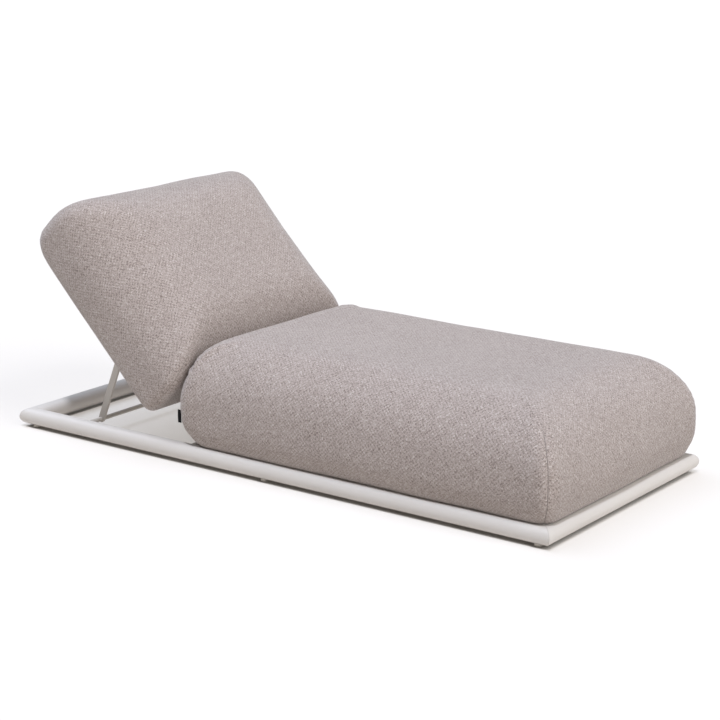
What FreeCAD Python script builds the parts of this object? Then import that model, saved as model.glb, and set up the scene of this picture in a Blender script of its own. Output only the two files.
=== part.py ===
import FreeCAD, Part
import math
import os
import Sketcher

# Garden chaise longue: a low frame of four mitred tubes, a thick seat cushion on a deck,
# and a back cushion on a hinged board that a folding prop holds up over two notched racks.
# +X points to the foot end, -Y to the near side, Z is up, and the floor is at Z = 0.

SIZES = [
    ("frame_length", 2000.0),
    ("frame_width", 870.0),
    ("rail_width", 58.0),
    ("rail_height", 50.0),
    ("rail_corner", 24.5),
    ("rail_wall", 2.5),
    ("glide_height", 9.0),
    ("glide_radius", 12.0),
    ("glide_bevel", 2.0),
    ("glide_end_setback", 50.0),
    ("bearer_width", 50.0),
    ("bearer_height", 25.0),
    ("bearer_wall", 2.5),
    ("bearer_front_setback", 260.0),
    ("bearer_rear_ahead", 45.0),
    ("deck_thickness", 12.0),
    ("deck_side_gap", 3.0),
    ("deck_end_gap", 3.0),
    ("deck_corner", 12.0),
    ("deck_slot_length", 420.0),
    ("deck_slot_width", 16.0),
    ("deck_slot_pitch", 120.0),
    ("soft_clear", 0.3),
    ("cushion_width", 872.0),
    ("cushion_thickness", 317.0),
    ("cushion_corner", 46.0),
    ("cushion_crown", 7.0),
    ("seat_length", 1331.5),
    ("seat_thickness", 315.6),
    ("seat_top_round", 178.0),
    ("seat_bottom_round", 102.0),
    ("seat_end_tuck", 149.0),
    ("seat_side_tuck", 83.0),
    ("tab_reach", 13.0),
    ("tab_height", 42.0),
    ("tab_thickness", 2.0),
    ("tab_low", 119.0),
    ("tab_from_middle", 400.0),
    ("back_length", 702.0),
    ("back_front_round", 186.0),
    ("back_low_tuck", 30.0),
    ("back_top_tuck", 118.0),
    ("back_side_tuck", 44.0),
    ("back_rear_round", 60.0),
    ("back_tilt", 45.6),
    ("back_height_flat", 69.4),
    ("board_thickness", 12.0),
    ("board_low_inset", 40.0),
    ("board_top_inset", 150.0),
    ("board_side_inset", 66.0),
    ("board_corner", 30.0),
    ("hinge_from_head", 659.0),
    ("hinge_height", 218.0),
    ("hinge_gap", 8.0),
    ("hinge_from_middle", 220.0),
    ("hinge_width", 60.0),
    ("hinge_knuckle_radius", 7.0),
    ("hinge_pin_radius", 4.0),
    ("hinge_leaf", 5.0),
    ("hinge_leaf_offset", 1.5),
    ("hinge_middle_width", 29.2),
    ("hinge_side_clear", 0.4),
    ("hinge_foot_length", 40.0),
    ("arm_foot_length", 82.0),
    ("pivot_clear", 0.06),
    ("prop_seat_along", 250.0),
    ("prop_seat_below", 17.0),
    ("prop_length", 260.6),
    ("prop_swing", 113.5),
    ("prop_from_middle", 325.0),
    ("prop_leg_width", 22.0),
    ("prop_leg_thickness", 8.0),
    ("prop_bar_radius", 7.0),
    ("prop_bar_end_gap", 1.2),
    ("prop_pin_radius", 4.0),
    ("bracket_plate", 4.0),
    ("bracket_ear", 4.0),
    ("bracket_ear_radius", 9.0),
    ("bracket_length", 52.0),
    ("bracket_width", 44.0),
    ("bracket_slot_clear", 0.3),
    ("rack_thickness", 5.0),
    ("rack_low", 9.5),
    ("rack_seat_gap", 0.2),
    ("rack_ridge_clear", 1.2),
    ("rack_notch_clear", 3.4),
    ("rack_notch_step", 6.0),
    ("rack_notches", 3.0),
]

doc = FreeCAD.newDocument("chaise_longue")
sheet = doc.addObject("Spreadsheet::Sheet", "sizes")
for row, (alias, number) in enumerate(SIZES, 1):
    sheet.set("A%d" % row, alias)
    sheet.set("B%d" % row, str(number))
    sheet.setAlias("B%d" % row, alias)
doc.recompute()


class Size:
    """A length that keeps its number and the spreadsheet expression that gives it."""

    def __init__(self, number, text):
        self.number = number
        self.text = text

    def joined(self, other, sign, number):
        return Size(number, "(%s %s %s)" % (self.text, sign, other.text))

    def __add__(self, other):
        other = as_size(other)
        return self.joined(other, "+", self.number + other.number)

    def __sub__(self, other):
        other = as_size(other)
        return self.joined(other, "-", self.number - other.number)

    def __mul__(self, factor):
        return Size(self.number * factor, "(%s * %.9f)" % (self.text, factor))

    def __truediv__(self, factor):
        return self * (1.0 / factor)

    def __neg__(self):
        return Size(-self.number, "(0 - %s)" % self.text)


def as_size(value):
    if isinstance(value, Size):
        return value
    return Size(float(value), "%.9f" % value)


def dim(alias):
    return Size(float(getattr(sheet, alias)), "sizes." + alias)


sub_parts = []


def new_body(label):
    body = doc.addObject("PartDesign::Body", label)
    body.Label = label
    sub_parts.append(body)
    return body


def new_sketch(body, name, role, offset=None):
    """A sketch on one of the body's own origin planes, moved along the plane's normal."""
    sketch = body.newObject("Sketcher::SketchObject", name)
    plane = [item for item in body.Origin.OriginFeatures if item.Role == role][0]
    sketch.AttachmentSupport = [(plane, "")]
    sketch.MapMode = "FlatFace"
    if offset is not None:
        sketch.setExpression("AttachmentOffset.Base.z", offset.text)
    return sketch


def pin_point(sketch, geometry, point, axis, size):
    """Hold one coordinate of a point at a signed distance from the sketch origin."""
    if abs(size.number) < 1e-9:
        sketch.addConstraint(Sketcher.Constraint("PointOnObject", geometry, point, -2 if axis == "X" else -1))
        return
    kind = "Distance" + axis
    if size.number > 0:
        index = sketch.addConstraint(Sketcher.Constraint(kind, -1, 1, geometry, point, size.number))
        sketch.setExpression("Constraints[%d]" % index, size.text)
    else:
        index = sketch.addConstraint(Sketcher.Constraint(kind, geometry, point, -1, 1, -size.number))
        sketch.setExpression("Constraints[%d]" % index, (-size).text)


def add_line(sketch, start, end):
    return sketch.addGeometry(Part.LineSegment(FreeCAD.Vector(*start, 0), FreeCAD.Vector(*end, 0)), False)


def add_polygon(sketch, corners):
    """A closed outline through corners given as pairs of sizes."""
    corners = [(as_size(x), as_size(y)) for x, y in corners]
    lines = []
    for index, (x, y) in enumerate(corners):
        end_x, end_y = corners[(index + 1) % len(corners)]
        lines.append(add_line(sketch, (x.number, y.number), (end_x.number, end_y.number)))
    for index, line in enumerate(lines):
        following = lines[(index + 1) % len(lines)]
        sketch.addConstraint(Sketcher.Constraint("Coincident", line, 2, following, 1))
    for line, (x, y) in zip(lines, corners):
        pin_point(sketch, line, 1, "X", x)
        pin_point(sketch, line, 1, "Y", y)


def add_rectangle(sketch, left, right, low, high):
    add_polygon(sketch, [(left, low), (right, low), (right, high), (left, high)])


def add_circle(sketch, x, y, radius):
    centre = FreeCAD.Vector(as_size(x).number, as_size(y).number, 0)
    circle = sketch.addGeometry(Part.Circle(centre, FreeCAD.Vector(0, 0, 1), radius.number), False)
    index = sketch.addConstraint(Sketcher.Constraint("Radius", circle, radius.number))
    sketch.setExpression("Constraints[%d]" % index, radius.text)
    pin_point(sketch, circle, 3, "X", as_size(x))
    pin_point(sketch, circle, 3, "Y", as_size(y))


def add_rounded_outline(sketch, left, right, low, high, radius):
    """Four straight sides joined by four equal tangent corner arcs."""
    x0, x1, y0, y1, r = left.number, right.number, low.number, high.number, radius.number
    sides = [
        add_line(sketch, (x0 + r, y0), (x1 - r, y0)),
        add_line(sketch, (x1, y0 + r), (x1, y1 - r)),
        add_line(sketch, (x1 - r, y1), (x0 + r, y1)),
        add_line(sketch, (x0, y1 - r), (x0, y0 + r)),
    ]
    centres = [(x1 - r, y0 + r), (x1 - r, y1 - r), (x0 + r, y1 - r), (x0 + r, y0 + r)]
    arcs = []
    for index, (x, y) in enumerate(centres):
        circle = Part.Circle(FreeCAD.Vector(x, y, 0), FreeCAD.Vector(0, 0, 1), r)
        first = math.radians(90 * index - 90)
        arcs.append(sketch.addGeometry(Part.ArcOfCircle(circle, first, first + math.pi / 2), False))
    for index in range(4):
        following = sides[(index + 1) % 4]
        sketch.addConstraint(Sketcher.Constraint("Tangent", sides[index], 2, arcs[index], 1))
        sketch.addConstraint(Sketcher.Constraint("Tangent", arcs[index], 2, following, 1))
        sketch.addConstraint(Sketcher.Constraint("Vertical" if index % 2 else "Horizontal", sides[index]))
    for arc in arcs[1:]:
        sketch.addConstraint(Sketcher.Constraint("Equal", arcs[0], arc))
    index = sketch.addConstraint(Sketcher.Constraint("Radius", arcs[0], r))
    sketch.setExpression("Constraints[%d]" % index, radius.text)
    pin_point(sketch, sides[0], 1, "Y", low)
    pin_point(sketch, sides[1], 1, "X", right)
    pin_point(sketch, sides[2], 1, "Y", high)
    pin_point(sketch, sides[3], 1, "X", left)


def add_feature(body, kind, name, sketch, length, symmetric=True, reverse=False):
    feature = body.newObject("PartDesign::" + kind, name)
    feature.Profile = sketch
    feature.SideType = "Symmetric" if symmetric else "One side"
    feature.Reversed = reverse
    feature.Type = "Length"
    feature.setExpression("Length", length.text)
    return feature


def pad(body, name, sketch, length, symmetric=True, reverse=False):
    return add_feature(body, "Pad", name, sketch, length, symmetric, reverse)


def pocket(body, name, sketch, length, symmetric=True, reverse=False):
    return add_feature(body, "Pocket", name, sketch, length, symmetric, reverse)


def place(item, x, y, z, turn=0.0):
    """Bind a sub-part's position to the sheet, after a turn about Z."""
    item.Placement = FreeCAD.Placement(FreeCAD.Vector(), FreeCAD.Rotation(FreeCAD.Vector(0, 0, 1), turn))
    for axis, size in zip("xyz", (x, y, z)):
        item.setExpression("Placement.Base." + axis, as_size(size).text)


# Frame levels and edges that several pieces share
half_length = dim("frame_length") / 2
half_width = dim("frame_width") / 2
rail_low = dim("glide_height")
rail_top = rail_low + dim("rail_height")
rail_middle = rail_low + dim("rail_height") / 2
rail_inside = half_width - dim("rail_width")
end_inside = half_length - dim("rail_width")
hinge_line = dim("hinge_from_head") - half_length
seat_rear = hinge_line + dim("hinge_gap")
seat_front = seat_rear + dim("seat_length")
back_end = hinge_line - dim("hinge_gap")


def make_rail(label, length, x, y, turn):
    """A hollow rounded tube along X with its outer face to -Y and both ends cut to a mitre."""
    body = new_body(label)
    half_wide = dim("rail_width") / 2
    half_high = dim("rail_height") / 2
    wall = dim("rail_wall")
    profile = new_sketch(body, label + "_profile", "YZ_Plane")
    add_rounded_outline(profile, -half_wide, half_wide, -half_high, half_high, dim("rail_corner"))
    add_rounded_outline(profile, wall - half_wide, half_wide - wall, wall - half_high, half_high - wall,
                        dim("rail_corner") - wall)
    pad(body, label + "_tube", profile, length)
    mitres = new_sketch(body, label + "_mitre_lines", "XY_Plane")
    end = length / 2
    inner = end - dim("rail_width")
    add_polygon(mitres, [(end, -half_wide), (end, half_wide), (inner, half_wide)])
    add_polygon(mitres, [(-end, -half_wide), (-inner, half_wide), (-end, half_wide)])
    pocket(body, label + "_mitres", mitres, dim("rail_height") * 2)
    place(body, x, y, rail_middle, turn)


side_line = half_width - dim("rail_width") / 2
end_line = half_length - dim("rail_width") / 2
make_rail("rail_near", dim("frame_length"), 0, -side_line, 0)
make_rail("rail_far", dim("frame_length"), 0, side_line, 180)
make_rail("rail_foot", dim("frame_width"), end_line, 0, 90)
make_rail("rail_head", dim("frame_width"), -end_line, 0, -90)


def make_glide(label, x, y):
    """A low plastic foot under a side rail, bevelled at the floor."""
    body = new_body(label)
    disc = new_sketch(body, label + "_outline", "XY_Plane")
    add_circle(disc, 0, 0, dim("glide_radius"))
    pad(body, label + "_disc", disc, dim("glide_height"), symmetric=False)
    doc.recompute()
    bevel = body.newObject("PartDesign::Chamfer", label + "_bevel")
    disc_shape = body.Tip.Shape if body.Tip != bevel else bevel.BaseFeature.Shape
    rims = ["Edge%d" % (index + 1) for index, edge in enumerate(disc_shape.Edges)
            if edge.BoundBox.ZMax < dim("glide_height").number / 2]
    bevel.Base = (body.Group[-2], rims)
    bevel.setExpression("Size", dim("glide_bevel").text)
    place(body, x, y, 0)


glide_line = half_length - dim("glide_end_setback")
for side, y in (("near", -side_line), ("far", side_line)):
    make_glide("glide_%s_head" % side, -glide_line, y)
    make_glide("glide_%s_middle" % side, 0, y)
    make_glide("glide_%s_foot" % side, glide_line, y)


# Bearers: rectangular tubes across the frame, butted against the flats of the side rails
bearer_top = rail_top - dim("deck_thickness")
bearer_middle = bearer_top - dim("bearer_height") / 2
rear_bearer = hinge_line + dim("bearer_rear_ahead")
front_bearer = half_length - dim("bearer_front_setback")


def make_bearer(label, x):
    body = new_body(label)
    half_wide = dim("bearer_width") / 2
    half_high = dim("bearer_height") / 2
    wall = dim("bearer_wall")
    profile = new_sketch(body, label + "_profile", "XZ_Plane")
    add_rectangle(profile, -half_wide, half_wide, -half_high, half_high)
    add_rectangle(profile, wall - half_wide, half_wide - wall, wall - half_high, half_high - wall)
    pad(body, label + "_tube", profile, rail_inside * 2)
    place(body, x, 0, bearer_middle)


make_bearer("bearer_rear", rear_bearer)
make_bearer("bearer_middle", (rear_bearer + front_bearer) / 2)
make_bearer("bearer_front", front_bearer)


def make_deck():
    """The board under the seat, with a row of drain slots, on the three bearers."""
    body = new_body("seat_deck")
    half_wide = rail_inside - dim("deck_side_gap")
    rear = hinge_line + dim("hinge_foot_length") + dim("deck_end_gap")
    front = end_inside - dim("deck_end_gap")
    outline = new_sketch(body, "deck_outline", "XY_Plane")
    add_rounded_outline(outline, rear, front, -half_wide, half_wide, dim("deck_corner"))
    pad(body, "deck_board", outline, dim("deck_thickness"), symmetric=False)
    slot = new_sketch(body, "deck_slot_outline", "XY_Plane", dim("deck_thickness"))
    slot_start = rear_bearer + dim("bearer_width")
    add_rectangle(slot, slot_start, slot_start + dim("deck_slot_width"),
                  -dim("deck_slot_length") / 2, dim("deck_slot_length") / 2)
    cut = pocket(body, "deck_slot", slot, dim("deck_thickness") * 2)
    doc.recompute()
    pattern = body.newObject("PartDesign::LinearPattern", "deck_slots")
    pattern.Originals = [cut]
    pattern.Direction = (slot, ["H_Axis"])
    pattern.Mode = "Spacing"
    pattern.setExpression("Offset", dim("deck_slot_pitch").text)
    run = (front - slot_start).number - dim("deck_slot_width").number
    pattern.Occurrences = max(1, int(run / dim("deck_slot_pitch").number) + 1)
    body.Tip = pattern
    place(body, 0, 0, bearer_top)


make_deck()


def arc_steps(angles):
    """How far a rounded edge has drawn in, and how far it still is from its flat, at each angle."""
    return [(1 - math.cos(math.radians(angle)), 1 - math.sin(math.radians(angle))) for angle in angles]


def make_cushion(body, levels):
    """A loft through rounded outlines; each level gives height, rear, front and half width."""
    sketches = []
    for index, (height, rear, front, half_wide) in enumerate(levels):
        sketch = new_sketch(body, "%s_level_%d" % (body.Label, index), "XY_Plane", height)
        add_rounded_outline(sketch, rear, front, -half_wide, half_wide, dim("cushion_corner"))
        sketches.append(sketch)
    loft = body.newObject("PartDesign::AdditiveLoft", body.Label + "_form")
    loft.Profile = sketches[0]
    loft.Sections = sketches[1:]
    loft.Ruled = True
    body.Tip = loft
    return loft


SEAT_LOW_ANGLES = [60, 48, 36, 24, 12, 0]
BACK_LOW_ANGLES = [80, 64, 48, 32, 16, 0]
HIGH_ANGLES = [0, 13, 26, 39, 52, 65, 78]
# Crown: how far in from the edge, as a share of the edge's radius, and how much of the rise is reached
CROWN = [(1.0, 0.2), (1.2, 0.6), (1.4, 0.85), (1.6, 1.0)]


def make_seat_cushion():
    """The seat: tucked in at the bottom, large round top edges and a low crown."""
    body = new_body("seat_cushion")
    half_wide = dim("cushion_width") / 2
    low_round = dim("seat_bottom_round")
    top_round = dim("seat_top_round")
    end_tuck = dim("seat_end_tuck")
    tuck = dim("seat_side_tuck")
    low_steps = arc_steps(SEAT_LOW_ANGLES)
    top = dim("seat_thickness") + low_round * low_steps[0][1]
    levels = []
    for drawn, short in low_steps:
        levels.append((low_round * short, seat_rear + end_tuck * drawn, seat_front - end_tuck * drawn,
                       half_wide - tuck * drawn))
    for drawn, short in arc_steps(HIGH_ANGLES):
        levels.append((top - dim("cushion_crown") - top_round * short, seat_rear + top_round * drawn,
                       seat_front - top_round * drawn, half_wide - top_round * drawn))
    for inset, rise in CROWN:
        drawn = top_round * inset
        levels.append((top - dim("cushion_crown") * (1 - rise), seat_rear + drawn, seat_front - drawn,
                       half_wide - drawn))
    lowest = levels[0][0]
    levels = [(height - lowest, rear, front, wide) for height, rear, front, wide in levels]
    make_cushion(body, levels)
    place(body, 0, 0, rail_top + dim("soft_clear"))


make_seat_cushion()


def make_label_tab():
    """A plain woven tab that stands out of the seat's rear corner seam."""
    tab = doc.addObject("Part::Box", "label_tab")
    tab.Label = "label_tab"
    tab.setExpression("Length", dim("tab_reach").text)
    tab.setExpression("Width", dim("tab_thickness").text)
    tab.setExpression("Height", dim("tab_height").text)
    root = seat_rear + dim("soft_clear")
    place(tab, root - dim("tab_reach"), -dim("tab_from_middle"), dim("tab_low"))
    sub_parts.append(tab)


make_label_tab()


# Back and prop are drawn lying flat and then turned up about the hinge line
def turned(point, degrees):
    rotation = FreeCAD.Rotation(FreeCAD.Vector(0, 1, 0), degrees)
    return FreeCAD.Placement(FreeCAD.Vector(), rotation, point)


hinge_point = FreeCAD.Vector(hinge_line.number, 0, dim("hinge_height").number)
prop_seat_x = back_end - dim("prop_seat_along")
prop_seat_z = dim("back_height_flat") - dim("prop_seat_below")
prop_point = FreeCAD.Vector(prop_seat_x.number, 0, prop_seat_z.number)
raise_back = turned(hinge_point, dim("back_tilt").number)
swing_prop = turned(prop_point, -dim("prop_swing").number)


def seat_at(item, move, x, y, z):
    """Put a sub-part at its place in the flat position and carry it along with a move."""
    here = FreeCAD.Vector(as_size(x).number, as_size(y).number, as_size(z).number)
    item.Placement = move * FreeCAD.Placement(here, FreeCAD.Rotation())


def make_back_board():
    body = new_body("back_board")
    half_wide = half_width - dim("board_side_inset")
    outline = new_sketch(body, "board_outline", "XY_Plane")
    add_rounded_outline(outline, dim("board_top_inset") - dim("back_length"), -dim("board_low_inset"),
                        -half_wide, half_wide, dim("board_corner"))
    pad(body, "board_plate", outline, dim("board_thickness"), symmetric=False)
    seat_at(body, raise_back, back_end, 0, dim("back_height_flat"))


make_back_board()


def make_back_cushion():
    """The back: crisp lower rear edge, tucked top, large round front edges, and a bed for the board."""
    body = new_body("back_cushion")
    half_long = dim("back_length") / 2
    half_wide = dim("cushion_width") / 2
    rear_round = dim("back_rear_round")
    front_round = dim("back_front_round")
    top = dim("cushion_thickness")
    levels = []
    for drawn, short in arc_steps(BACK_LOW_ANGLES):
        levels.append((rear_round * short, dim("back_top_tuck") * drawn - half_long,
                       half_long - dim("back_low_tuck") * drawn, half_wide - dim("back_side_tuck") * drawn))
    for drawn, short in arc_steps(HIGH_ANGLES):
        levels.append((top - dim("cushion_crown") - front_round * short, front_round * drawn - half_long,
                       half_long - front_round * drawn, half_wide - front_round * drawn))
    for inset, rise in CROWN:
        drawn = front_round * inset
        levels.append((top - dim("cushion_crown") * (1 - rise), drawn - half_long, half_long - drawn,
                       half_wide - drawn))
    lowest = levels[0][0]
    levels = [(height - lowest, rear, front, wide) for height, rear, front, wide in levels]
    make_cushion(body, levels)
    doc.recompute()
    clear = dim("soft_clear")
    half_board = half_width - dim("board_side_inset")
    bed = new_sketch(body, "board_bed_outline", "XY_Plane")
    add_rounded_outline(bed, dim("board_top_inset") - half_long - clear, half_long - dim("board_low_inset") + clear,
                        -half_board - clear, half_board + clear, dim("board_corner") + clear)
    pocket(body, "board_bed", bed, dim("board_thickness"), symmetric=False, reverse=True)
    seat_at(body, raise_back, back_end - half_long, 0, dim("back_height_flat") + clear)


make_back_cushion()


# Hinges: a post on the rear bearer carries two knuckles, an arm on the back carries the middle one
def make_hinge_post(label, y):
    body = new_body(label)
    knuckle = dim("hinge_knuckle_radius")
    leaf_near = dim("hinge_leaf_offset")
    leaf_far = leaf_near + dim("hinge_leaf")
    foot = bearer_top - dim("hinge_height")
    slot = dim("hinge_middle_width") + dim("hinge_side_clear") * 2
    leaf = new_sketch(body, label + "_leaf_lines", "XZ_Plane")
    add_polygon(leaf, [(leaf_far, 0), (leaf_near, 0), (leaf_near, foot), (dim("hinge_foot_length"), foot),
                       (dim("hinge_foot_length"), foot + dim("hinge_leaf")),
                       (leaf_far, foot + dim("hinge_leaf"))])
    pad(body, label + "_leaf", leaf, dim("hinge_width"))
    barrel = new_sketch(body, label + "_barrel_line", "XZ_Plane")
    add_circle(barrel, 0, 0, knuckle)
    pad(body, label + "_barrel", barrel, dim("hinge_width"))
    gap = new_sketch(body, label + "_gap_lines", "XZ_Plane")
    reach = knuckle + dim("hinge_leaf_offset")
    add_rectangle(gap, -reach, reach, -reach, reach)
    pocket(body, label + "_gap", gap, slot)
    bore = new_sketch(body, label + "_bore_line", "XZ_Plane")
    add_circle(bore, 0, 0, dim("hinge_pin_radius"))
    pocket(body, label + "_bore", bore, dim("hinge_width") * 2)
    place(body, hinge_line, y, dim("hinge_height"))


def make_hinge_pin(label, y):
    pin = doc.addObject("Part::Cylinder", label)
    pin.Label = label
    pin.setExpression("Radius", dim("hinge_pin_radius").text)
    pin.setExpression("Height", dim("hinge_width").text)
    lying = FreeCAD.Rotation(FreeCAD.Vector(1, 0, 0), -90)
    start = as_size(y) - dim("hinge_width") / 2
    pin.Placement = FreeCAD.Placement(FreeCAD.Vector(), lying)
    for axis, size in zip("xyz", (hinge_line, start, dim("hinge_height"))):
        pin.setExpression("Placement.Base." + axis, size.text)
    sub_parts.append(pin)


def make_hinge_arm(label, y):
    body = new_body(label)
    leaf_near = -dim("hinge_leaf_offset")
    leaf_far = leaf_near - dim("hinge_leaf")
    sole = dim("back_height_flat") - dim("hinge_height")
    low = sole - dim("hinge_leaf")
    leaf = new_sketch(body, label + "_leaf_lines", "XZ_Plane")
    add_polygon(leaf, [(leaf_near, 0), (leaf_far, 0), (leaf_far, sole), (-dim("arm_foot_length"), sole),
                       (-dim("arm_foot_length"), low), (leaf_near, low)])
    pad(body, label + "_leaf", leaf, dim("hinge_middle_width"))
    barrel = new_sketch(body, label + "_barrel_line", "XZ_Plane")
    add_circle(barrel, 0, 0, dim("hinge_knuckle_radius"))
    pad(body, label + "_barrel", barrel, dim("hinge_middle_width"))
    bore = new_sketch(body, label + "_bore_line", "XZ_Plane")
    add_circle(bore, 0, 0, dim("hinge_pin_radius") + dim("pivot_clear"))
    pocket(body, label + "_bore", bore, dim("hinge_width") * 2)
    seat_at(body, raise_back, hinge_line, y, dim("hinge_height"))


# Prop: a bail of two flat legs and a cross bar, hung from brackets under the back board
def make_prop_bracket(label, y):
    body = new_body(label)
    ear = dim("bracket_ear_radius")
    slot = dim("prop_leg_thickness") + dim("bracket_slot_clear") * 2
    top = dim("prop_seat_below")
    plate_low = top - dim("bracket_plate")
    plate = new_sketch(body, label + "_plate_lines", "XZ_Plane")
    add_rectangle(plate, -dim("bracket_length") / 2, dim("bracket_length") / 2, plate_low, top)
    pad(body, label + "_plate", plate, dim("bracket_width"))
    ears = new_sketch(body, label + "_ear_lines", "XZ_Plane")
    add_rectangle(ears, -ear, ear, 0, top)
    pad(body, label + "_ears", ears, slot + dim("bracket_ear") * 2)
    tip = new_sketch(body, label + "_tip_line", "XZ_Plane")
    add_circle(tip, 0, 0, ear)
    pad(body, label + "_tips", tip, slot + dim("bracket_ear") * 2)
    gap = new_sketch(body, label + "_gap_lines", "XZ_Plane")
    add_rectangle(gap, -ear * 2, ear * 2, -ear * 2, plate_low)
    pocket(body, label + "_gap", gap, slot)
    bore = new_sketch(body, label + "_bore_line", "XZ_Plane")
    add_circle(bore, 0, 0, dim("prop_pin_radius"))
    pocket(body, label + "_bore", bore, dim("bracket_width") * 2)
    seat_at(body, raise_back, prop_seat_x, y, prop_seat_z)


def make_prop_pin(label, y):
    pin = doc.addObject("Part::Cylinder", label)
    pin.Label = label
    length = dim("prop_leg_thickness") + dim("bracket_slot_clear") * 2 + dim("bracket_ear") * 2
    pin.setExpression("Radius", dim("prop_pin_radius").text)
    pin.setExpression("Height", length.text)
    lying = FreeCAD.Rotation(FreeCAD.Vector(1, 0, 0), -90)
    start = as_size(y) - length / 2
    here = FreeCAD.Vector(prop_seat_x.number, start.number, prop_seat_z.number)
    pin.Placement = raise_back * FreeCAD.Placement(here, lying)
    sub_parts.append(pin)


def make_prop_leg(label, y):
    """A flat bar with round ends, drilled for its pivot pin and for the cross bar."""
    body = new_body(label)
    half_wide = dim("prop_leg_width") / 2
    outline = new_sketch(body, label + "_bar_lines", "XZ_Plane")
    add_rectangle(outline, -dim("prop_length"), 0, -half_wide, half_wide)
    pad(body, label + "_bar", outline, dim("prop_leg_thickness"))
    for name, x in (("head", 0), ("foot", -dim("prop_length"))):
        end = new_sketch(body, "%s_%s_line" % (label, name), "XZ_Plane")
        add_circle(end, x, 0, half_wide)
        pad(body, "%s_%s" % (label, name), end, dim("prop_leg_thickness"))
    holes = new_sketch(body, label + "_hole_lines", "XZ_Plane")
    add_circle(holes, 0, 0, dim("prop_pin_radius") + dim("pivot_clear"))
    add_circle(holes, -dim("prop_length"), 0, dim("prop_bar_radius"))
    pocket(body, label + "_holes", holes, dim("prop_leg_thickness") * 2)
    seat_at(body, raise_back * swing_prop, prop_seat_x, y, prop_seat_z)


def make_prop_bar():
    bar = doc.addObject("Part::Cylinder", "prop_bar")
    bar.Label = "prop_bar"
    reach = rail_inside - dim("prop_bar_end_gap")
    bar.setExpression("Radius", dim("prop_bar_radius").text)
    bar.setExpression("Height", (reach * 2).text)
    lying = FreeCAD.Rotation(FreeCAD.Vector(1, 0, 0), -90)
    here = FreeCAD.Vector((prop_seat_x - dim("prop_length")).number, -reach.number, prop_seat_z.number)
    bar.Placement = raise_back * swing_prop * FreeCAD.Placement(here, lying)
    sub_parts.append(bar)


for side, sign in (("near", -1), ("far", 1)):
    make_hinge_post("hinge_post_" + side, dim("hinge_from_middle") * sign)
    make_hinge_pin("hinge_pin_" + side, dim("hinge_from_middle") * sign)
    make_hinge_arm("hinge_arm_" + side, dim("hinge_from_middle") * sign)
    make_prop_bracket("prop_bracket_" + side, dim("prop_from_middle") * sign)
    make_prop_pin("prop_pin_" + side, dim("prop_from_middle") * sign)
    make_prop_leg("prop_leg_" + side, dim("prop_from_middle") * sign)
make_prop_bar()


# Racks: notched plates on the inner faces of the side rails, cut just below the bar's own path
def bar_point(lowered):
    """Centre of the cross bar after the back is let down by some degrees from its photographed tilt."""
    tilt = dim("back_tilt").number
    fold = dim("prop_swing").number * (1 - lowered / tilt)
    move = turned(hinge_point, tilt - lowered) * turned(prop_point, -fold)
    return move.multVec(prop_point - FreeCAD.Vector(dim("prop_length").number, 0, 0))


def rack_edge():
    """Points just under the bar's path: a notch at each stop and a ridge between stops."""
    step = dim("rack_notch_step").number / 2
    radius = dim("prop_bar_radius").number
    points = []
    for index in range(-1, int(dim("rack_notches").number) * 2):
        here = bar_point(index * step)
        ahead = bar_point(index * step + 0.1) - bar_point(index * step - 0.1)
        below = FreeCAD.Vector(-ahead.z, 0, ahead.x).normalize()
        clear = dim("rack_ridge_clear") if index % 2 else dim("rack_notch_clear")
        points.append(here + below * (radius + clear.number))
    return points


def make_rack(label, y):
    rack = doc.addObject("Part::Feature", label)
    rack.Label = label
    edge = rack_edge()
    low = dim("rack_low").number
    outline = edge + [FreeCAD.Vector(edge[-1].x, 0, low), FreeCAD.Vector(edge[0].x, 0, low)]
    outline = [FreeCAD.Vector(point.x, y, point.z) for point in outline]
    face = Part.Face(Part.makePolygon(outline + outline[:1]))
    rack.Shape = face.extrude(FreeCAD.Vector(0, dim("rack_thickness").number, 0))
    rack.Placement = FreeCAD.Placement()
    sub_parts.append(rack)


rack_outside = rail_inside.number - dim("rack_seat_gap").number
make_rack("rack_near", -rack_outside)
make_rack("rack_far", rack_outside - dim("rack_thickness").number)

doc.recompute()

faults = []
for item in doc.Objects:
    if "Invalid" in item.State or "Error" in item.State:
        faults.append(item.Name)
for item in sub_parts:
    if item.Shape.isNull() or not item.Shape.isValid() or len(item.Shape.Solids) != 1:
        faults.append(item.Label)
if faults:
    raise RuntimeError("pieces not built: " + ", ".join(faults))

os.makedirs("parts", exist_ok=True)
for item in sub_parts:
    item.Shape.exportStep("parts/%s.step" % item.Label)
    box = item.Shape.BoundBox
    print("%-20s volume %.0f  x %.1f %.1f  y %.1f %.1f  z %.1f %.1f" % (
        item.Label, item.Shape.Volume, box.XMin, box.XMax, box.YMin, box.YMax, box.ZMin, box.ZMax))
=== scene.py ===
import math

import bmesh
import bpy
import numpy as np
from mathutils import Matrix, Vector


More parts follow.
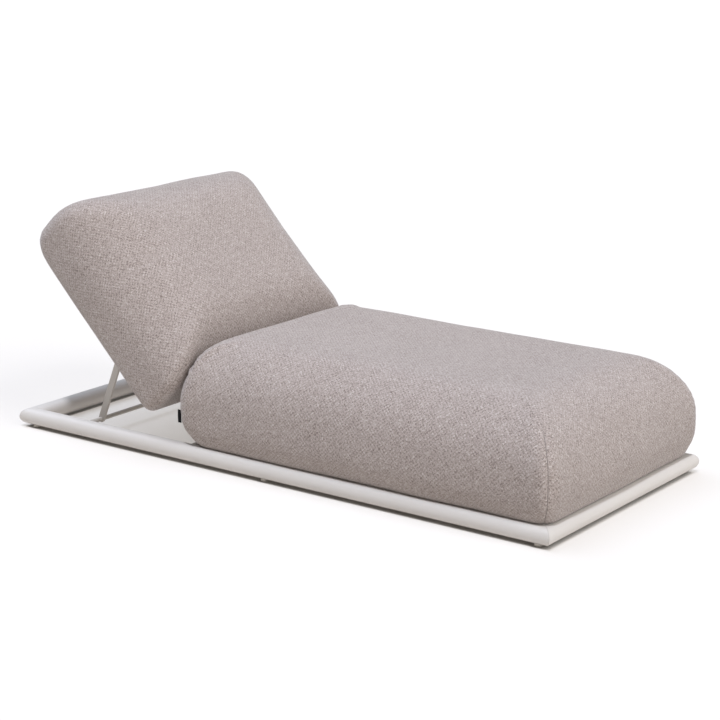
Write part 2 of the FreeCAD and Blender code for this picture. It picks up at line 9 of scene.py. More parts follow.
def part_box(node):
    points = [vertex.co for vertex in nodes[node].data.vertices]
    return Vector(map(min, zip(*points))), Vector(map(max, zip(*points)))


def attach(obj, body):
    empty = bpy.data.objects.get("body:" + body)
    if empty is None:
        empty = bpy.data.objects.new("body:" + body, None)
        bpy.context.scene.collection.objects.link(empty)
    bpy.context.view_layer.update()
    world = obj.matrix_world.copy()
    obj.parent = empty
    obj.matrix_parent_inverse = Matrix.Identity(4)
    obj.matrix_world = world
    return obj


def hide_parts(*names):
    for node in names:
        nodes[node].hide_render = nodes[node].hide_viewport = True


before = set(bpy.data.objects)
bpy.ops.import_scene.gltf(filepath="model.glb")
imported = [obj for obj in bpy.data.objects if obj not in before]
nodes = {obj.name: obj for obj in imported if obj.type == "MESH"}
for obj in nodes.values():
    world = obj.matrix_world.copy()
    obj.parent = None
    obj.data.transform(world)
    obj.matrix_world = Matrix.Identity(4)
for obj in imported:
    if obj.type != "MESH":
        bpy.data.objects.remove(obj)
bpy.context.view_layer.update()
scene = bpy.context.scene


class Value:
    """A number that varies over a surface; arithmetic on it adds Math nodes to its wiring."""

    def __init__(self, wiring, socket):
        self.wiring = wiring
        self.socket = socket

    def __add__(self, other):
        return self.wiring.math("ADD", self, other)

    __radd__ = __add__

    def __sub__(self, other):
        return self.wiring.math("SUBTRACT", self, other)

    def __rsub__(self, other):
        return self.wiring.math("SUBTRACT", other, self)

    def __mul__(self, other):
        return self.wiring.math("MULTIPLY", self, other)

    __rmul__ = __mul__

    def __truediv__(self, other):
        return self.wiring.math("DIVIDE", self, other)

    def __rtruediv__(self, other):
        return self.wiring.math("DIVIDE", other, self)

    def __mod__(self, other):
        return self.wiring.math("FLOORED_MODULO", self, other)

    def __rmod__(self, other):
        return self.wiring.math("FLOORED_MODULO", other, self)

    def __abs__(self):
        return self.wiring.math("ABSOLUTE", self)

    def __lt__(self, other):
        return self.wiring.math("LESS_THAN", self, other)

    def __gt__(self, other):
        return self.wiring.math("GREATER_THAN", self, other)

    def floor(self):
        return self.wiring.math("FLOOR", self)

    def sine(self):
        return self.wiring.math("SINE", self)

    def most(self, other):
        return self.wiring.math("MAXIMUM", self, other)

    def ease(self, start, end, low=0.0, high=1.0):
        """low before start, high after end, and a smooth step between them."""
        node = self.wiring.node(
            "ShaderNodeMapRange", {"interpolation_type": "SMOOTHSTEP"},
            {"Value": self, "From Min": start, "From Max": end, "To Min": low, "To Max": high})
        return Value(self.wiring, node.outputs["Result"])


class Wiring:
    """The nodes of a finish or of the studio's surroundings."""

    def __init__(self, tree):
        self.tree = tree

    def node(self, kind, settings, sockets):
        """A node of that kind, with its settings made first and then its sockets set or linked."""
        node = self.tree.nodes.new(kind)
        for key, value in settings.items():
            setattr(node, key, value)
        for key, value in sockets.items():
            self.feed(node.inputs[key], value)
        return node

    def feed(self, socket, value):
        if isinstance(value, Value):
            self.tree.links.new(value.socket, socket)
        else:
            socket.default_value = value

    def math(self, operation, *terms):
        node = self.node("ShaderNodeMath", {"operation": operation}, dict(enumerate(terms)))
        return Value(self, node.outputs[0])

    def coordinates(self, kind):
        return Value(self, self.node("ShaderNodeTexCoord", {}, {}).outputs[kind])

    def split(self, vector):
        parts = self.node("ShaderNodeSeparateXYZ", {}, {"Vector": vector})
        return [Value(self, parts.outputs[axis]) for axis in "XYZ"]

    def join(self, x, y, z):
        node = self.node("ShaderNodeCombineXYZ", {}, {"X": x, "Y": y, "Z": z})
        return Value(self, node.outputs[0])

    def noise(self, vector, scale, detail=2.0):
        node = self.node("ShaderNodeTexNoise", {},
                         {"Vector": vector, "Scale": scale, "Detail": detail})
        return Value(self, node.outputs["Fac"])

    def chance(self, vector):
        """A number picked at random for each cell of a vector of whole numbers."""
        node = self.node("ShaderNodeTexWhiteNoise", {"noise_dimensions": "3D"}, {"Vector": vector})
        return Value(self, node.outputs["Value"])

    def mix(self, share, first, second):
        """A colour between the first and the second."""
        node = self.node("ShaderNodeMix", {"data_type": "RGBA"}, {0: share, 6: first, 7: second})
        return Value(self, node.outputs[2])


class Finish(Wiring):
    """One material and the nodes that make it."""

    def __init__(self, name):
        self.material = bpy.data.materials.new(name)
        self.material.use_nodes = True
        super().__init__(self.material.node_tree)
        self.shader = next(n for n in self.tree.nodes if n.type == "BSDF_PRINCIPLED")

    def place(self):
        """Object coordinates as a vector and as its three numbers."""
        spot = self.coordinates("Object")
        return spot, *self.split(spot)

    def bump(self, height, distance, strength):
        node = self.node("ShaderNodeBump", {},
                         {"Strength": strength, "Distance": distance, "Height": height})
        self.feed(self.shader.inputs["Normal"], Value(self, node.outputs[0]))

    def set(self, **sockets):
        for key, value in sockets.items():
            self.feed(self.shader.inputs[key.replace("_", " ")], value)


def rgb(red, green, blue):
    """A colour from its screen values, 0 to 255."""
    linear = [((c / 255 + 0.055) / 1.055) ** 2.4 if c > 10 else c / 255 / 12.92
              for c in (red, green, blue)]
    return (*linear, 1.0)


def greige_weave(name):
    """Outdoor upholstery cloth: uneven basket weave of flecked yarns, with sewn corner seams."""
    yarn_wide = 0.0021
    yarns_in_bundle = 3
    sway_per_metre, sway_yarns = 40, 1.2
    jog_per_metre, jog_yarns = 130, 2.2
    slub_per_metre, slub_step = 190, 3.7
    fuzz_per_metre, shade_per_metre = 900, 5
    flat_share, round_share = 0.55, 0.45
    dark_yarn, mid_yarn, pale_yarn = rgb(116, 102, 95), rgb(172, 160, 153), rgb(222, 212, 206)
    # The first colour on the next line is painted shade for the pits between the yarns; the second is the
    # seam thread's own colour.
    shade_between_yarns, seam_thread = rgb(98, 87, 82), rgb(58, 50, 47)

    cloth = Finish(name)
    lay = cloth.node("ShaderNodeAttribute", {"attribute_name": "cloth_lay"}, {})
    along, across, seam = cloth.split(Value(cloth, lay.outputs["Vector"]))

    def spread(per_metre, layer):
        """A place on the cloth for a noise of that many grains to the metre."""
        return cloth.join(along * per_metre, across * per_metre, layer)

    sway = cloth.noise(spread(sway_per_metre, 0.0), 1.0) * sway_yarns
    warp_jog = cloth.noise(spread(jog_per_metre, 5.0), 1.0) * jog_yarns
    weft_jog = cloth.noise(spread(jog_per_metre, 9.0), 1.0) * jog_yarns
    warp = along / yarn_wide + sway + warp_jog
    weft = across / yarn_wide + sway + weft_jog
    warp_id = warp.floor()
    weft_id = weft.floor()
    warp_bundle = (warp / yarns_in_bundle).floor()
    weft_bundle = (weft / yarns_in_bundle).floor()
    over = (warp_bundle + weft_bundle) % 2

    warp_round = abs((warp * math.pi).sine())
    weft_round = abs((weft * math.pi).sine())
    warp_hill = warp_round * (flat_share + round_share * weft_round)
    weft_hill = weft_round * (flat_share + round_share * warp_round)
    hill = over * warp_hill + (1 - over) * weft_hill

    warp_slub = cloth.noise(cloth.join(warp_id * slub_step, across * slub_per_metre, 0.0), 1.0, 1.0)
    weft_slub = cloth.noise(cloth.join(along * slub_per_metre, weft_id * slub_step, 7.0), 1.0, 1.0)
    slub = over * warp_slub + (1 - over) * weft_slub
    fleck = cloth.chance(cloth.join(warp_id, weft_id, over))
    stand = (over - 0.5) * cloth.chance(cloth.join(warp_bundle, weft_bundle, 0.5))
    fuzz = cloth.noise(spread(fuzz_per_metre, 0.0), 1.0)
    shade = cloth.noise(spread(shade_per_metre, 3.0), 1.0)

    tone = 0.16 + stand * 0.23 + fleck * 0.43 + slub * 0.24
    tone = tone + (fuzz - 0.5) * 0.4 + (shade - 0.5) * 0.08
    colour = cloth.mix(tone.ease(0.15, 0.62), dark_yarn, mid_yarn)
    colour = cloth.mix(tone.ease(0.62, 1.0), colour, pale_yarn)
    # Painted shade: the pits between the yarns are mixed toward a dark colour, as if shade fell in them.
    pit_shade = (1 - hill).ease(0.45, 1.0)
    colour = cloth.mix(pit_shade * 0.4, colour, shade_between_yarns)
    stitch_line = 1 - abs(seam).ease(0.0004, 0.0011)
    colour = cloth.mix(stitch_line * 0.6, colour, seam_thread)
    lips = abs(seam).ease(0.0, 0.004)
    cloth.set(Base_Color=colour, Roughness=0.86 + (fuzz - 0.5) * 0.15, Sheen_Weight=0.3,
              Sheen_Roughness=0.4, Specular_IOR_Level=0.25)
    cloth.bump(hill * 0.7 + fuzz * 0.3 + lips * 2.0, 0.0011, 0.5)
    return cloth.material


def powder_coat(name, body, grime, gloss=0.42):
    """Baked powder paint: fine orange peel, a little dust, and mitre lines at the frame's corners."""
    frame_half_length, frame_half_width, tube_wide = 1.0, 0.435, 0.059
    thin_coat = [c * 0.94 for c in body[:3]] + [1.0]

    coat = Finish(name)
    spot, x, y, z = coat.place()
    peel = coat.noise(spot, 620.0, 3.0)
    cloud = coat.noise(spot, 5.0, 3.0)
    speck = coat.noise(spot, 1500.0, 1.0).ease(0.66, 0.8)
    dust = (1 - z.ease(0.004, 0.03)) * cloud.ease(0.35, 0.7)
    from_end = frame_half_length - abs(x)
    from_side = frame_half_width - abs(y)
    at_corner = from_end.most(from_side) < tube_wide
    mitre = (1 - abs(from_end - from_side).ease(0.0003, 0.0011)) * at_corner
    colour = coat.mix(cloud.ease(0.3, 0.75) * 0.5, body, thin_coat)
    colour = coat.mix(speck * 0.18, colour, grime)
    colour = coat.mix(dust * 0.35, colour, grime)
    colour = coat.mix(mitre * 0.55, colour, grime)
    coat.set(Base_Color=colour, Specular_IOR_Level=0.4,
             Roughness=gloss + (peel - 0.5) * 0.16 + dust * 0.2 + speck * 0.1)
    coat.bump(peel * 0.35 - mitre * 2.0, 0.0005, 0.5)
    return coat.material


def brushed_pin(name):
    """Turned steel pins with fine rings and dull spots."""
    bright, dulled = rgb(186, 184, 180), rgb(138, 133, 126)
    steel = Finish(name)
    spot, x, y, z = steel.place()
    rings = steel.noise(steel.join(x * 40, y * 2600, z * 40), 1.0)
    dull = steel.noise(spot, 160.0, 3.0).ease(0.45, 0.75)
    steel.set(Base_Color=steel.mix(dull, bright, dulled), Metallic=0.95 - dull * 0.25,
              Roughness=0.24 + rings * 0.18 + dull * 0.2)
    steel.bump(rings, 0.0002, 0.5)
    return steel.material


def glide_moulding(name):
    """Pale moulded feet, scuffed towards the floor."""
    moulded, scuffed = rgb(196, 190, 181), rgb(122, 116, 108)
    foot = Finish(name)
    spot, x, y, z = foot.place()
    grain = foot.noise(spot, 1400.0)
    streak = foot.noise(foot.join(x * 300, y * 300, z * 90), 1.0, 3.0)
    scuff = streak.ease(0.5, 0.75) * (1 - z.ease(0.001, 0.007))
    foot.set(Base_Color=foot.mix(scuff * 0.7, moulded, scuffed),
             Roughness=0.55 + grain * 0.2 + scuff * 0.15)
    foot.bump(grain, 0.0003, 0.6)
    return foot.material


def board_laminate(name):
    """Pale compact board: a pressed linen grain, faint clouding and handling marks."""
    linen_turn = 3300
    pale, clouded, flecked = rgb(176, 169, 162), rgb(164, 156, 149), rgb(126, 118, 111)
    board = Finish(name)
    spot, x, y, z = board.place()
    grain = abs((x * linen_turn).sine()) * 0.5 + abs((y * linen_turn).sine()) * 0.5
    cloud = board.noise(spot, 9.0, 4.0)
    speck = board.noise(spot, 900.0).ease(0.55, 0.75)
    rub = board.noise(board.join(x * 6, y * 60, z * 6), 1.0, 4.0).ease(0.6, 0.8)
    colour = board.mix(cloud.ease(0.3, 0.7), pale, clouded)
    colour = board.mix(speck * 0.35, colour, flecked)
    board.set(Base_Color=colour, Roughness=0.5 + rub * 0.18 + (grain - 0.5) * 0.1)
    board.bump(grain * 0.5 + speck * 0.3, 0.0003, 0.6)
    return board.material


def tab_ribbon(name):
    """Black woven ribbon with fine cross ribs."""
    rib_turn = 4200
    ribbon = Finish(name)
    x, y, z = ribbon.split(ribbon.coordinates("Object"))
    ribs = abs((z * rib_turn).sine())
    fibre = ribbon.noise(ribbon.join(x * 2600, y * 2600, z * 500), 1.0)
    colour = ribbon.mix(ribs * 0.6 + fibre * 0.4, rgb(7, 7, 8), rgb(24, 23, 24))
    ribbon.set(Base_Color=colour, Roughness=0.75 + fibre * 0.2, Specular_IOR_Level=0.2)
    ribbon.bump(ribs * 0.7 + fibre * 0.3, 0.0003, 0.8)
    return ribbon.material


def floor_paint(name):
    """Pale studio floor, almost even, that glows a little, with painted shadow: the glow falls to near black
    where something stands close above it.
    """
    painted_shadow_reach = 0.014
    painted_shadow_glow, pale_glow = (0.01, 0.009, 0.008, 1), (1.0, 0.955, 0.91, 1)
    paint = Finish(name)
    cloud = paint.noise(paint.coordinates("Object"), 0.8, 3.0)
    colour = paint.mix(cloud, (0.44, 0.42, 0.40, 1), (0.45, 0.43, 0.41, 1))
    # Painted shadow: ambient occlusion within a short reach darkens the floor's glow beneath the frame,
    # drawing a dark line under the rails.
    gap = paint.node("ShaderNodeAmbientOcclusion", {"samples": 8}, {"Distance": painted_shadow_reach})
    glow = paint.mix(Value(paint, gap.outputs["AO"]).ease(0.55, 0.9), painted_shadow_glow, pale_glow)
    paint.set(Base_Color=colour, Roughness=0.8 + (cloud - 0.5) * 0.1, Specular_IOR_Level=0.1,
              Emission_Color=glow, Emission_Strength=0.38)
    return paint.material


# The cushions, in metres, on the lines of their CAD solids
SEAT_REAR, SEAT_FRONT, SEAT_LOW = -0.333, 0.9985, 0.0593
HALF_WIDE, CROWN_RISE = 0.436, 0.007
HINGE = Vector((-0.341, 0.0, 0.218))
BACK_TILT = math.radians(45.6)
BACK_HALF = 0.351
BACK_FLAT_PLACE = (-0.349 - BACK_HALF, 0.0, 0.0697)
COVER_SHRINK = 0.004
COVER_SWELL = 0.005
LEAST_RISE = 0.0004


class Form:
    """A cushion's lines in its own frame: its ends, half width, edge radii, tucks and corners."""

    LOW_STEPS, TOP_STEPS, CORNER_STEPS = 11, 15, 13
    TOP_TURN = 80
    CROWN = ((1.0, 0.2), (1.2, 0.6), (1.4, 0.85), (1.6, 1.0))

    def __init__(self, rear, front, low_round, low_turn, rear_tuck, front_tuck, side_tuck,
                 top_round, height, rear_corner, front_corner):
        self.rear, self.front, self.half_wide = rear, front, HALF_WIDE
        self.low_round, self.low_turn = low_round, low_turn
        self.top_round, self.height = top_round, height
        self.rear_tuck, self.front_tuck, self.side_tuck = rear_tuck, front_tuck, side_tuck
        self.rear_corner, self.front_corner = rear_corner, front_corner
        self.dip = low_round * (1 - math.sin(math.radians(low_turn)))
        self.mid, self.half_long = (rear + front) / 2, (front - rear) / 2

    def levels(self):
        """Height, rear, front and half width from the bottom to the crown."""
        out = []
        for angle in np.radians(np.linspace(self.low_turn, 0, self.LOW_STEPS)):
            drawn = 1 - math.cos(angle)
            z = self.low_round * (1 - math.sin(angle)) - self.dip
            out.append((z, self.rear + self.rear_tuck * drawn, self.front - self.front_tuck * drawn,
                        self.half_wide - self.side_tuck * drawn))
        for angle in np.radians(np.linspace(0, self.TOP_TURN, self.TOP_STEPS)):
            drawn = self.top_round * (1 - math.cos(angle))
            z = self.height - CROWN_RISE - self.top_round * (1 - math.sin(angle))
            out.append((z, self.rear + drawn, self.front - drawn, self.half_wide - drawn))
        for inset, rise in self.CROWN:
            drawn = self.top_round * inset
            out.append((self.height - CROWN_RISE * (1 - rise), self.rear + drawn,
                        self.front - drawn, self.half_wide - drawn))
        return out

    def outline(self, rear, front, wide):
        """The points of one level, round its four corners."""
        points = []
        for at_front, at_far, start in ((1, 1, 0), (0, 1, 90), (0, 0, 180), (1, 0, 270)):
            corner = self.front_corner if at_front else self.rear_corner
            mid_x = front - corner if at_front else rear + corner
            mid_y = wide - corner if at_far else -wide + corner
            for step in range(self.CORNER_STEPS):
                turn = math.radians(start + 90 / (self.CORNER_STEPS - 1) * step)
                points.append((mid_x + corner * math.cos(turn), mid_y + corner * math.sin(turn)))
        return points

    def shell(self, name, shrink):
        """The closed form as a mesh, drawn in by shrink on every side."""
        mesh = bmesh.new()
        rings = []
        for z, rear, front, wide in self.levels():
            z = min(max(z, shrink), self.height - shrink)
            rings.append([mesh.verts.new((x, y, z)) for x, y in
                          self.outline(rear + shrink, front - shrink, wide - shrink)])
        for low, high in zip(rings, rings[1:]):
            for i in range(len(low)):
                j = (i + 1) % len(low)
                mesh.faces.new((low[i], low[j], high[j], high[i]))
        mesh.faces.new(list(reversed(rings[0])))
        mesh.faces.new(rings[-1])
        data = bpy.data.meshes.new(name)
        mesh.to_mesh(data)
        mesh.free()
        return data

    def inward(self, points):
        """How far the points lie inside the ends and inside the sides."""
        return (self.half_long - np.abs(points[:, 0] - self.mid),
                self.half_wide - np.abs(points[:, 1]))


def get_vectors(mesh, kind):
    """The mesh's points, as co, or its normals, as normal."""
    vectors = np.empty(len(mesh.vertices) * 3, np.float32)
    mesh.vertices.foreach_get(kind, vectors)
    return vectors.reshape(-1, 3).astype(np.float64)


def set_points(mesh, points):
    mesh.vertices.foreach_set("co", points.astype(np.float32).ravel())
    mesh.update()


def smooth_faces(mesh):
    for polygon in mesh.polygons:
        polygon.use_smooth = True


def mesh_as_shown(piece):
    """What the piece's modifiers make of its mesh."""
    shown = piece.evaluated_get(bpy.context.evaluated_depsgraph_get())
    return bpy.data.meshes.new_from_object(shown)


def apply_modifiers(piece):
    """Replaces the piece's mesh by what its modifiers make of it."""
    made = mesh_as_shown(piece)
    piece.modifiers.clear()
    piece.data = made


def ripple(points, wave, seed):
    """A smooth field of about unit height, the same at each run: waves of that length, fixed headings."""
    waves = 9
    dice = np.random.default_rng(seed)
    field = np.zeros(len(points))
    for _ in range(waves):
        heading = dice.normal(size=3)
        heading *= 2 * math.pi / wave * dice.uniform(0.6, 1.3) / np.linalg.norm(heading)
        field += np.sin(points @ heading + dice.uniform(0, 2 * math.pi))
    return field / math.sqrt(waves / 2)


def ease(value, start, end):
    share = np.clip((value - start) / (end - start), 0, 1)
    return share * share * (3 - 2 * share)


def smooth_over_edges(mesh, field, rounds, share):
    """Evens out a number per point with its neighbours along the mesh's edges."""
    edges = np.empty(len(mesh.edges) * 2, np.int32)
    mesh.edges.foreach_get("vertices", edges)
    edges = edges.reshape(-1, 2)
    for _ in range(rounds):
        total, count = np.zeros(len(field)), np.zeros(len(field))
        for one, other in ((0, 1), (1, 0)):
            np.add.at(total, edges[:, one], field[edges[:, other]])
            np.add.at(count, edges[:, one], 1)
        field = (1 - share) * field + share * total / np.maximum(count, 1)
    return field


def stuff(piece):
    """Presses the cover out from inside, held at its underside; each point stays near its start."""
    held_up_to, free_from, pressed_frames = COVER_SHRINK + 0.012, COVER_SHRINK + 0.03, 20
    start, normals = get_vectors(piece.data, "co"), get_vectors(piece.data, "normal")
    held = piece.vertex_groups.new(name="underside")
    held.add([int(i) for i in np.flatnonzero(start[:, 2] < held_up_to)], 1.0, "REPLACE")
    cloth = piece.modifiers.new("stuffing", "CLOTH")
    cloth.settings.use_pressure = True
    cloth.settings.uniform_pressure_force = 4.0
    cloth.settings.quality = 4
    cloth.settings.vertex_group_mass = "underside"
    cloth.settings.effector_weights.gravity = 0
    cloth.collision_settings.use_collision = False
    cloth.point_cache.frame_start = 1
    cloth.point_cache.frame_end = pressed_frames
    for moment in range(1, pressed_frames + 1):
        scene.frame_set(moment)
    made = mesh_as_shown(piece)
    swell = ((get_vectors(made, "co") - start) * normals).sum(1)
    piece.modifiers.clear()
    piece.vertex_groups.clear()
    scene.frame_set(1)
    bpy.data.meshes.remove(made)
    usual = np.median(swell[start[:, 2] > free_from])
    swell = COVER_SWELL * np.tanh((swell - usual) / (2 * COVER_SWELL))
    swell *= ease(start[:, 2], COVER_SHRINK + 0.01, COVER_SHRINK + 0.06)
    swell = smooth_over_edges(piece.data, swell, 12, 0.6)
    set_points(piece.data, start + normals * (COVER_SHRINK + swell)[:, None])


def sewn_cushion(name, form, seam_top, seam_show, seed):
    """A stuffed cover: remeshed form, pressed out, subdivided, then drawn in along its corner seams."""
    piece = bpy.data.objects.new(name, form.shell(name, COVER_SHRINK))
    scene.collection.objects.link(piece)
    remesh = piece.modifiers.new("even", "REMESH")
    remesh.mode = "VOXEL"
    remesh.voxel_size = 0.0085
    soften = piece.modifiers.new("soften", "SMOOTH")
    soften.factor = 0.5
    soften.iterations = 6
    apply_modifiers(piece)
    stuff(piece)
    finer = piece.modifiers.new("finer", "SUBSURF")
    finer.levels = 1
    finer.render_levels = 1
    apply_modifiers(piece)
    sew_corners(piece.data, form, seam_top, seam_show, seed)
    smooth_faces(piece.data)
    return piece


def sew_corners(mesh, form, seam_top, seam_show, seed):
    """Draws the cloth in at the four upright corner seams, puckers it there and lays a faint unevenness."""
    corner_reach, pucker_step = 0.12, 0.024
    points, normals = get_vectors(mesh, "co"), get_vectors(mesh, "normal")
    to_end, to_side = form.inward(points)
    across_seam = (to_end - to_side) / math.sqrt(2)
    above = np.maximum(points[:, 2] - seam_top, 0)
    off_corner = np.maximum(np.minimum(to_end, to_side) - corner_reach, 0)
    reach = np.sqrt(across_seam ** 2 + above ** 2 + off_corner ** 2)
    pull = 0.0016 * np.exp(-(reach / 0.007) ** 2) + 0.001 * np.exp(-(reach / 0.03) ** 2)
    pull *= 0.3 + 0.7 * seam_show
    wander = 2 * ripple(points, 0.08, seed + 1)
    pucker = 0.0007 * np.sin(points[:, 2] * 2 * math.pi / pucker_step + wander)
    pucker *= np.exp(-reach / 0.022) * ease(reach, 0.0, 0.006)
    hollow = 0.0006 * ripple(points, 0.34, seed) + 0.0002 * ripple(points, 0.12, seed + 2)
    set_points(mesh, points + normals * (hollow + pucker - pull)[:, None])
    lay_cloth(mesh, form, across_seam, np.hypot(above, off_corner) + 0.003 * (1 - seam_show))


def lay_cloth(mesh, form, across_seam, past_seam):
    """Stores how the cloth lies: along and across, unrolled over the edges, and the seam's distance."""
    points = get_vectors(mesh, "co")
    shoulder = form.height - form.top_round
    over_end = np.abs(points[:, 0] - form.mid)
    over_side = np.abs(points[:, 1])

    def unroll(out, limit):
        """Length from the middle, over the upper edge, down the side and on under the cushion."""
        bend = limit - form.top_round
        turn = np.arctan2(np.maximum(out - bend, 0), np.maximum(points[:, 2] - shoulder, 1e-6))
        run = np.where(out < bend, out, bend + form.top_round * turn)
        under = np.where(points[:, 2] < shoulder, np.maximum(limit - out, 0), 0)
        return run + np.maximum(shoulder - points[:, 2], 0) + under

    end_panel = across_seam < 0
    along = np.where(end_panel, unroll(over_end, form.half_long), over_end)
    along *= np.sign(points[:, 0] - form.mid)
    across = np.where(end_panel, over_side, unroll(over_side, form.half_wide))
    across *= np.sign(points[:, 1])
    seam = np.sign(across_seam) * np.hypot(across_seam, past_seam)
    lay = mesh.attributes.new("cloth_lay", "FLOAT_VECTOR", "POINT")
    lay.data.foreach_set("vector", np.stack([along, across, seam], -1).astype(np.float32).ravel())


greige_cloth = greige_weave("greige_cloth")


def dress_cushion(piece, node, body):
    piece.data.materials.clear()
    piece.data.materials.append(greige_cloth)
    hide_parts(node)
    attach(piece, body)


def contact(toward_other, height):
    """1 where one cushion's upright end presses on the other, falling to 0 away from it."""
    return ease(toward_other, 0.15, 0.28) * ease(height, 0.08, 0.16)


def make_seat_cover():
    """The seat: pressed against the back, crowded up at its rear edge, and sunk onto the deck."""
    form = Form(SEAT_REAR, SEAT_FRONT, low_round=0.102, low_turn=60, rear_tuck=0.140,
                front_tuck=0.058, side_tuck=0.074, top_round=0.178, height=0.3156,
                rear_corner=0.046, front_corner=0.040)
    piece = sewn_cushion("seat_cover", form, seam_top=0.246, seam_show=1.0, seed=11)
    points, normals = get_vectors(piece.data, "co"), get_vectors(piece.data, "normal")
    points += normals * (0.002 * contact(-points[:, 0], points[:, 2]))[:, None]
    lean = np.degrees(np.arccos(np.clip(normals[:, 2], -1, 1)))
    level = np.maximum(np.hypot(normals[:, 0], normals[:, 1]), 1e-6)
    rearward = ease(-normals[:, 0] / level, 0.1, 0.7)
    crowded = 0.014 * np.exp(-((lean - 32) / 18) ** 2) * rearward
    crowded *= ease(lean, 3, 12) * ease(-points[:, 0], 0.0, 0.1)
    points += normals * crowded[:, None]
    points[:, 2] += 0.005 * ease(-points[:, 0], -0.5, 0.2) * ease(points[:, 2], 0.16, 0.3)
    sunk = points[:, 2] - 0.006 * (1 - ease(points[:, 2], 0.006, 0.04))
    points[:, 2] = SEAT_LOW + np.maximum(sunk, LEAST_RISE)
    set_points(piece.data, points)
    dress_cushion(piece, "seat_cushion", "base")


def make_back_cover():
    """The back: pressed against the seat, with a bed for the board in its rear, made flat and then raised."""
    board_mid, board_half_long, board_half_wide, board_corner = 0.055, 0.226, 0.339, 0.030
    bed_deep, bed_wall, bed_room, underside = 0.0126, 0.004, 0.003, 0.03
    form = Form(-BACK_HALF, BACK_HALF, low_round=0.060, low_turn=80, rear_tuck=0.124,
                front_tuck=0.030, side_tuck=0.044, top_round=0.186, height=0.3161,
                rear_corner=0.050, front_corner=0.022)
    piece = sewn_cushion("back_cover", form, seam_top=0.24, seam_show=0.0, seed=23)
    points, normals = get_vectors(piece.data, "co"), get_vectors(piece.data, "normal")
    touch = 0.0025 * contact(points[:, 0], points[:, 2])
    from_corner = np.hypot(points[:, 0] + BACK_HALF, np.abs(points[:, 1]) - HALF_WIDE)
    drawn_in = 0.006 * np.exp(-(from_corner / 0.06) ** 2)
    points += normals * (touch - drawn_in)[:, None]
    points[:, 2] = np.maximum(points[:, 2], LEAST_RISE)
    past_end = np.maximum(np.abs(points[:, 0] - board_mid) - board_half_long, 0)
    past_side = np.maximum(np.abs(points[:, 1]) - board_half_wide, 0)
    off_board = np.hypot(past_end, past_side) - board_corner
    bed = bed_deep * ease(bed_room - off_board, 0.0, bed_wall)
    points[:, 2] = np.where(points[:, 2] < underside, np.maximum(points[:, 2], bed), points[:, 2])
    set_points(piece.data, points)
    flat = Matrix.Translation(BACK_FLAT_PLACE)
    raised = (Matrix.Translation(HINGE) @ Matrix.Rotation(BACK_TILT, 4, "Y")
              @ Matrix.Translation(-HINGE))
    piece.data.transform(raised @ flat)
    dress_cushion(piece, "back_cushion", "back")


make_seat_cover()
make_back_cover()

warm_white = powder_coat("warm_white_coat", rgb(201, 195, 189), rgb(120, 112, 104))
# Painted shade: the prop's coat is the frame's warm white made darker, standing for the shadow the back
# cushion casts on the prop.
prop_shaded_coat = powder_coat("prop_coat_painted_shade", rgb(186, 179, 171), rgb(112, 105, 98), 0.38)
hinge_grey = powder_coat("hinge_coat_paint", rgb(200, 195, 189), rgb(108, 101, 95), 0.4)
pin_steel = brushed_pin("pin_turned_steel")
glide_pale = glide_moulding("glide_pale_moulding")
board_pale = board_laminate("board_pale_laminate")
ribbon_black = tab_ribbon("tab_black_ribbon")

# The finish of each CAD piece that stays, by the start of its name
PAINTED = {
    "rail_": warm_white, "bearer_": warm_white,
    "prop_leg": prop_shaded_coat, "prop_bar": prop_shaded_coat,
    "prop_bracket": hinge_grey, "hinge_post": hinge_grey, "hinge_arm": hinge_grey, "rack_": hinge_grey,
    "prop_pin": pin_steel, "hinge_pin": pin_steel,
    "glide_": glide_pale,
    "seat_deck": board_pale, "back_board": board_pale,
}
for node_name, node in nodes.items():
    for start, material in PAINTED.items():
        if node_name.startswith(start):
            for slot in node.material_slots:
                slot.material = material


def tab_line(low_x, reach, half_gap):
    """One thread of the ribbon seen from above: out along one face, round the fold and back."""
    fold_steps, face_steps = 3, 5
    fold = half_gap * 0.9
    line = []
    for step in range(-fold_steps - face_steps, fold_steps + face_steps + 1):
        if abs(step) <= fold_steps:
            turn = math.pi / 2 * step / fold_steps
            line.append((low_x + fold * (1 - math.cos(turn)) + 0.0002, fold * math.sin(turn)))
        else:
            out = (abs(step) - fold_steps) / face_steps
            line.append((low_x + fold + (reach - fold) * out,
                         math.copysign(half_gap * (0.9 - 0.25 * out), step)))
    return line


def make_tab():
    """The ribbon tab: one strip folded at its outer edge, its two ends sewn into the seat's rear seam."""
    threads, hem, edge_lean, ribbon_thick = 13, 0.0006, 0.0009, 0.0004
    low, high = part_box("label_tab")
    mid_y = (low.y + high.y) / 2
    line = tab_line(low.x, high.x - low.x, (high.y - low.y) / 2)
    mesh = bmesh.new()
    rows = []
    for thread in range(threads):
        share = thread / (threads - 1)
        z = low.z + hem + (high.z - low.z - 2 * hem) * share
        lean = edge_lean * abs(2 * share - 1)
        rows.append([mesh.verts.new((x + lean, mid_y + y, z)) for x, y in line])
    for under, upper in zip(rows, rows[1:]):
        for i in range(len(under) - 1):
            mesh.faces.new((under[i], under[i + 1], upper[i + 1], upper[i]))
    data = bpy.data.meshes.new("label_ribbon")
    mesh.to_mesh(data)
    mesh.free()
    data.materials.append(ribbon_black)
    smooth_faces(data)
    piece = bpy.data.objects.new("label_ribbon", data)
    scene.collection.objects.link(piece)
    body = piece.modifiers.new("cloth", "SOLIDIFY")
    body.thickness = ribbon_thick
    body.offset = 0
    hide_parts("label_tab")
    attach(piece, "base")


make_tab()


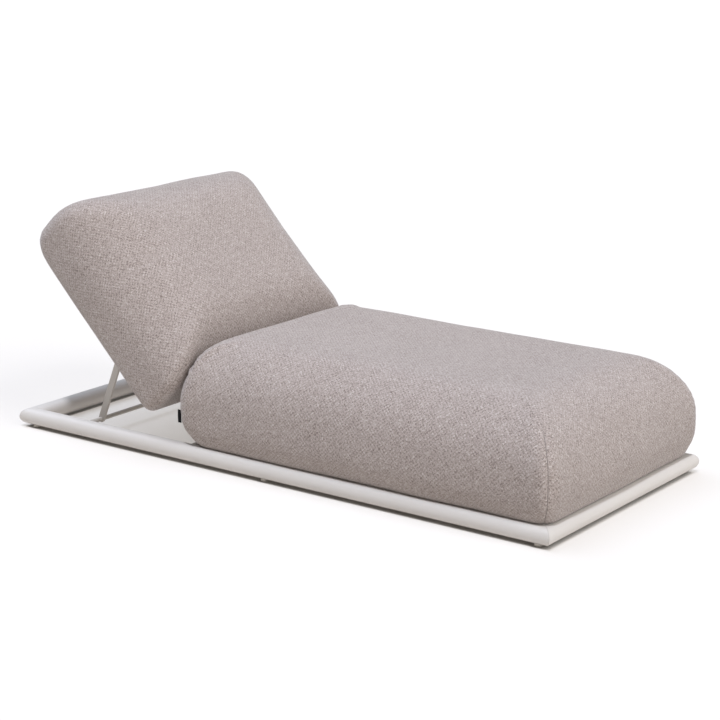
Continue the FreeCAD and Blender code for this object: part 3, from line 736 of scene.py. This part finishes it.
def make_floor():
    half = 60
    mesh = bpy.data.meshes.new("floor")
    mesh.from_pydata([(-half, -half, 0), (half, -half, 0), (half, half, 0), (-half, half, 0)], [],
                     [(0, 1, 2, 3)])
    mesh.materials.append(floor_paint("studio_floor_paint"))
    floor = bpy.data.objects.new("floor", mesh)
    scene.collection.objects.link(floor)


def make_studio():
    """Bright low walls under a dim ceiling, and three soft lights."""
    wall_top, ceiling_from, wall_light, ceiling_light = 0.17, 0.32, 0.8, 0.06
    world = bpy.data.worlds.new("studio")
    world.use_nodes = True
    studio = Wiring(world.node_tree)
    sky = next(n for n in studio.tree.nodes if n.type == "BACKGROUND")
    height = studio.split(studio.coordinates("Generated"))[2]
    studio.feed(sky.inputs["Color"], (1.0, 0.98, 0.96, 1.0))
    studio.feed(sky.inputs["Strength"], height.ease(wall_top, ceiling_from, wall_light, ceiling_light))
    scene.world = world
    hang_softbox("near_key", 2.0, 4, (0.945, 0.99, 1.085), (0.16, -0.29, 0.944))
    hang_softbox("top_softbox", 1.9, 50, (0.88, 0.98, 1.17), (-0.4, 0.0, 0.92))
    hang_softbox("foot_softbox", 1.72, 40, (0.98, 0.985, 1.0), (0.8, 0.0, 0.6))


def hang_softbox(name, power, spread, colour, heading):
    """A soft light of that spread, in degrees, that shines from that heading."""
    light = bpy.data.lights.new(name, "SUN")
    light.energy = power
    light.angle = math.radians(spread)
    light.color = colour
    lamp = bpy.data.objects.new(name, light)
    lamp.rotation_euler = Vector(heading).to_track_quat("Z", "Y").to_euler()
    scene.collection.objects.link(lamp)


def make_camera():
    """The camera at the photograph's angle."""
    azimuth, elevation = math.radians(36.37), math.radians(14.65)
    stand = (3.5658, -4.7707, 1.8425)
    right = Vector((math.cos(azimuth), math.sin(azimuth), 0))
    out = Vector((math.sin(azimuth) * math.cos(elevation),
                  -math.cos(azimuth) * math.cos(elevation), math.sin(elevation)))
    lens = bpy.data.cameras.new("photo_lens")
    lens.lens = 99.4
    lens.sensor_width = 36
    lens.clip_end = 200
    camera = bpy.data.objects.new("photo_camera", lens)
    turn = Matrix((right, out.cross(right), out)).transposed().to_4x4()
    camera.matrix_world = Matrix.Translation(stand) @ turn
    scene.collection.objects.link(camera)
    scene.camera = camera
    scene.view_settings.view_transform = "Standard"


make_floor()
make_studio()
make_camera()
